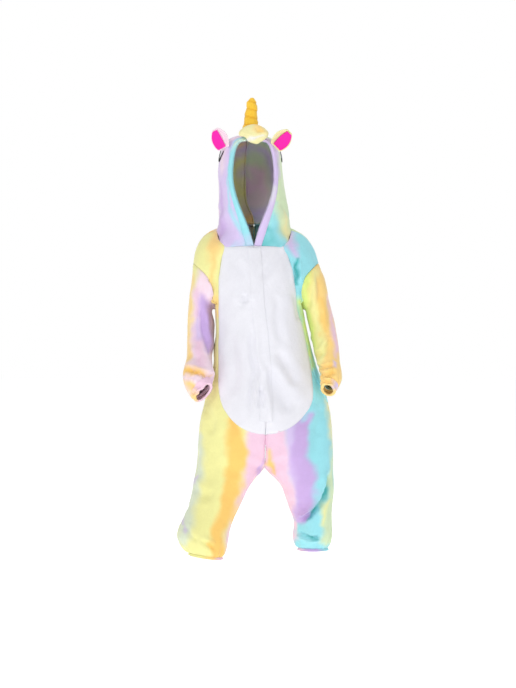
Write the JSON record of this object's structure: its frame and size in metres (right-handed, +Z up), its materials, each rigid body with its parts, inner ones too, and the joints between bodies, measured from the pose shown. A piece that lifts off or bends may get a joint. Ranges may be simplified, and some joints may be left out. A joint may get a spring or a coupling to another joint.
{
  "type": "unicorn onesie",
  "caption": "Child's hooded unicorn onesie in pastel tie-dyed flannel, hollow and held in its worn form, with a white belly, a stuffed horn and forelock, ears and elastic cuffs.",
  "frame": {"origin": "centre of the neck at the height of the shoulders, where the wearer's shoulders hold the garment up", "axes": "+Z up along the garment, the front faces -Y, +X is the wearer's left"},
  "size_m": [0.4388, 0.2586, 1.2153],
  "materials": {
    "tie_dyed_flannel": "short plush flannel, pastel tie-dye in apricot, yellow, aqua, lilac and pink",
    "white_flannel": "short plush flannel, white",
    "hood_flannel": "short plush flannel, tie-dyed lilac, aqua and pale green",
    "cream_flannel": "short plush flannel, cream with apricot",
    "pink_plush": "short plush, hot pink",
    "golden_flannel": "short plush flannel, golden yellow, stuffed",
    "black_felt": "felt, black"
  },
  "bodies": {
    "root": {"back_left": "tie_dyed_flannel", "back_right": "tie_dyed_flannel", "belly_left": "white_flannel", "belly_right": "white_flannel", "ear_inner_left": "pink_plush", "ear_inner_right": "pink_plush", "ear_outer_left": "cream_flannel", "ear_outer_right": "cream_flannel", "eye_left": "black_felt", "eye_right": "black_felt", "forelock": "cream_flannel", "front_left": "tie_dyed_flannel", "front_right": "tie_dyed_flannel", "hood_band_left": "hood_flannel", "hood_band_right": "hood_flannel", "hood_left": "hood_flannel", "hood_right": "hood_flannel", "horn": "golden_flannel", "leg_cuff_left": "tie_dyed_flannel", "leg_cuff_right": "tie_dyed_flannel", "placket": "white_flannel", "pocket_welt_left": "tie_dyed_flannel", "pocket_welt_right": "tie_dyed_flannel", "sleeve_cuff_left": "tie_dyed_flannel", "sleeve_cuff_right": "tie_dyed_flannel", "sleeve_left": "tie_dyed_flannel", "sleeve_right": "tie_dyed_flannel"}
  },
  "joints": []
}
